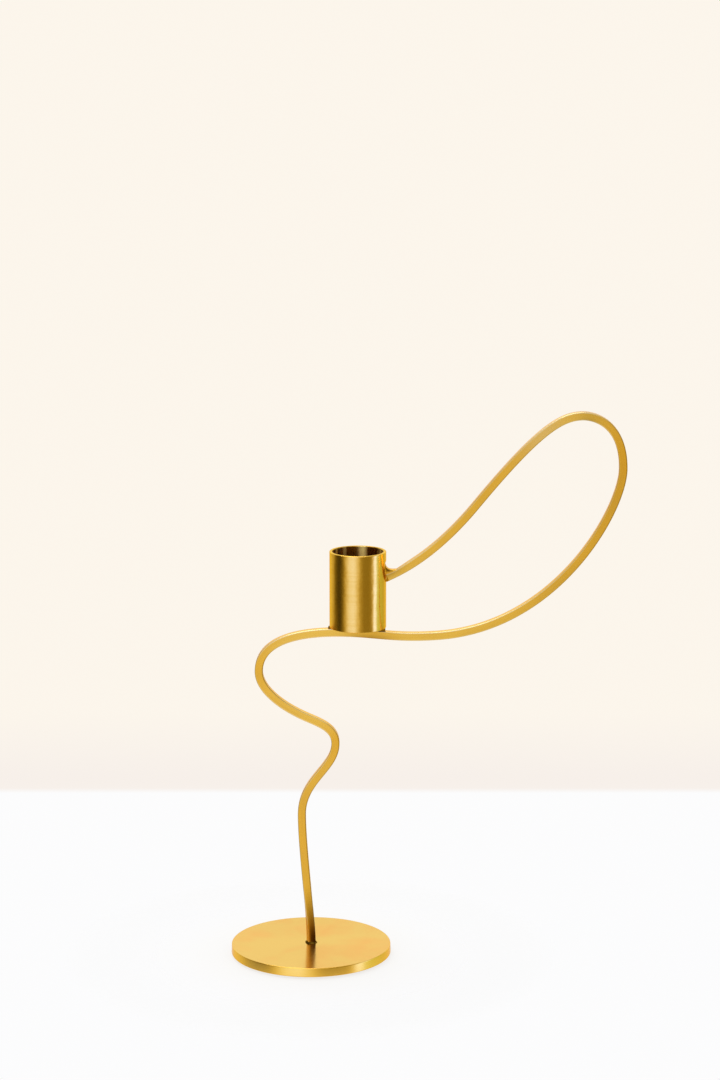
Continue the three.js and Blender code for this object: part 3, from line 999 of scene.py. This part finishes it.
def floor_material():
    """A matt pale floor that fades into the backdrop away from the object, so that only its shadow shows."""
    graph = Graph(bpy.data.materials.new("pale_floor"))
    place = graph.place()
    grain = graph.noise(place, 180, 3, 0.6)
    colour = graph.mix(grain * 0.1, (0.17, 0.17, 0.167), (0.15, 0.15, 0.148))
    matt = graph.add("ShaderNodeBsdfDiffuse", None, colour)
    glow = graph.add("ShaderNodeEmission", None, (1.0, 0.995, 0.99), 0.77)
    lit = graph.add("ShaderNodeAddShader", None, matt, glow)
    faded = ((graph.length(place) - 55 * MM) / (70 * MM) + graph.ray("Glossy") * 0.65).clamped()
    clear = graph.add("ShaderNodeBsdfTransparent")
    graph.make("ShaderNodeOutputMaterial", None, graph.add("ShaderNodeMixShader", None, faded, lit, clear))
    return graph.owner


def make_floor():
    """The floor: a flat disc on a grid of radius and angle, with its first ring 1 mm from the middle."""
    rings, spokes = 12, 96
    radius = np.linspace(MM, bpy.context.scene.holder_stage.floor_radius, rings)[:, None]
    turn = np.arange(spokes) * (2 * np.pi / spokes)
    points = np.stack([radius * np.cos(turn), radius * np.sin(turn), np.zeros((rings, spokes))], axis=-1)
    faces = grid_faces(rings, spokes)[2]
    floor = place_mesh("studio_floor", points.reshape(-1, 3), faces[:, ::-1])
    floor.data.materials.append(floor_material())


def make_lamp():
    """The soft overhead lamp, which looks at the holder's stem."""
    place, aim = Vector((-0.25, 0.35, 1.5)), Vector((0.03, 0, 0.1))
    lamp = bpy.data.lights.new("overhead_lamp", "AREA")
    lamp.shape = "RECTANGLE"
    lamp.size, lamp.size_y = 1.1, 0.8
    lamp.energy = 9.0
    put(lamp, place, (aim - place).to_track_quat("-Z", "Y").to_euler())


def make_camera():
    """The camera at the photograph's place and angle."""
    stage = bpy.context.scene.holder_stage
    camera = bpy.data.cameras.new("photo_camera")
    camera.lens = stage.camera_lens
    camera.sensor_width = 36.0
    camera.clip_start, camera.clip_end = 0.05, 50.0
    turn = (math.pi / 2 - stage.camera_pitch, 0, 0)
    bpy.context.scene.camera = put(camera, stage.camera_place, turn)


# Operators


class HOLDER_OT_base_plate(bpy.types.Operator):
    """Model the round plate"""

    bl_idname = "holder.base_plate"
    bl_label = "Base Plate"

    def execute(self, context):
        dress(make_plate(), plate_material(), "base_brass", "base_plate")
        return {"FINISHED"}


class HOLDER_OT_felt_pad(bpy.types.Operator):
    """Model the felt pad under the plate"""

    bl_idname = "holder.felt_pad"
    bl_label = "Felt Pad"

    def execute(self, context):
        dress(make_pad(), felt_material(), "felt", "felt_pad")
        return {"FINISHED"}


class HOLDER_OT_bent_bar(bpy.types.Operator):
    """Model the bent square bar"""

    bl_idname = "holder.bent_bar"
    bl_label = "Bent Bar"

    def execute(self, context):
        dress(make_bar(), bar_material("satin_brass_bar"), "satin_brass", "bent_bar")
        return {"FINISHED"}


class HOLDER_OT_candle_cup(bpy.types.Operator):
    """Model the tube cup and its floor"""

    bl_idname = "holder.candle_cup"
    bl_label = "Candle Cup"

    def execute(self, context):
        brass = cup_material()
        dress(make_cup(), brass, "satin_brass", "candle_cup")
        dress(make_cup_floor(), brass, "satin_brass", "cup_floor")
        return {"FINISHED"}


class HOLDER_OT_brazed_joints(bpy.types.Operator):
    """Model the three brazed joints"""

    bl_idname = "holder.brazed_joints"
    bl_label = "Brazed Joints"

    def execute(self, context):
        raw = braze_material("raw_braze", 0.0, 0.85)
        # Dark braze with painted shade, for the seat under the cup
        braze_and_shade = braze_material("seat_braze_and_shade", 0.6, 0.75)
        filed = bar_material("filed_braze")
        dress(make_foot_bead(), raw, "braze", "foot_braze")
        dress(make_seat_bead(), braze_and_shade, "braze", "seat_braze")
        dress(make_top_fillet(), filed, "braze", "arrival_braze")
        dress(make_arrival_collar(), filed, "braze", "arrival_braze")
        return {"FINISHED"}


class HOLDER_OT_stage(bpy.types.Operator):
    """Set up the camera, the floor, the room and the lamp"""

    bl_idname = "holder.stage"
    bl_label = "Stage"

    def execute(self, context):
        make_camera()
        make_floor()
        make_world()
        make_lamp()
        context.scene.view_settings.view_transform = "Standard"
        return {"FINISHED"}


OPERATORS = (
    HOLDER_OT_base_plate, HOLDER_OT_felt_pad, HOLDER_OT_bent_bar, HOLDER_OT_candle_cup,
    HOLDER_OT_brazed_joints, HOLDER_OT_stage)


class HOLDER_PT_panel(bpy.types.Panel):
    """Lists the pieces of the candle holder"""

    bl_idname = "HOLDER_PT_panel"
    bl_label = "Candle Holder"
    bl_space_type = "VIEW_3D"
    bl_region_type = "UI"
    bl_category = "Candle Holder"

    def draw(self, context):
        for operator in OPERATORS:
            self.layout.operator(operator.bl_idname)


GROUPS = {"holder_sizes": HolderSizes, "holder_finish": HolderFinish, "holder_stage": HolderStage}


CLASSES = (*GROUPS.values(), *OPERATORS, HOLDER_PT_panel)


def register():
    for kind in CLASSES:
        bpy.utils.register_class(kind)
    for name, group in GROUPS.items():
        setattr(bpy.types.Scene, name, PointerProperty(type=group))


def unregister():
    for name in GROUPS:
        delattr(bpy.types.Scene, name)
    for kind in reversed(CLASSES):
        bpy.utils.unregister_class(kind)


def main():
    register()
    bpy.ops.holder.base_plate()
    bpy.ops.holder.felt_pad()
    bpy.ops.holder.bent_bar()
    bpy.ops.holder.candle_cup()
    bpy.ops.holder.brazed_joints()
    bpy.ops.holder.stage()


if __name__ == "__main__":
    main()
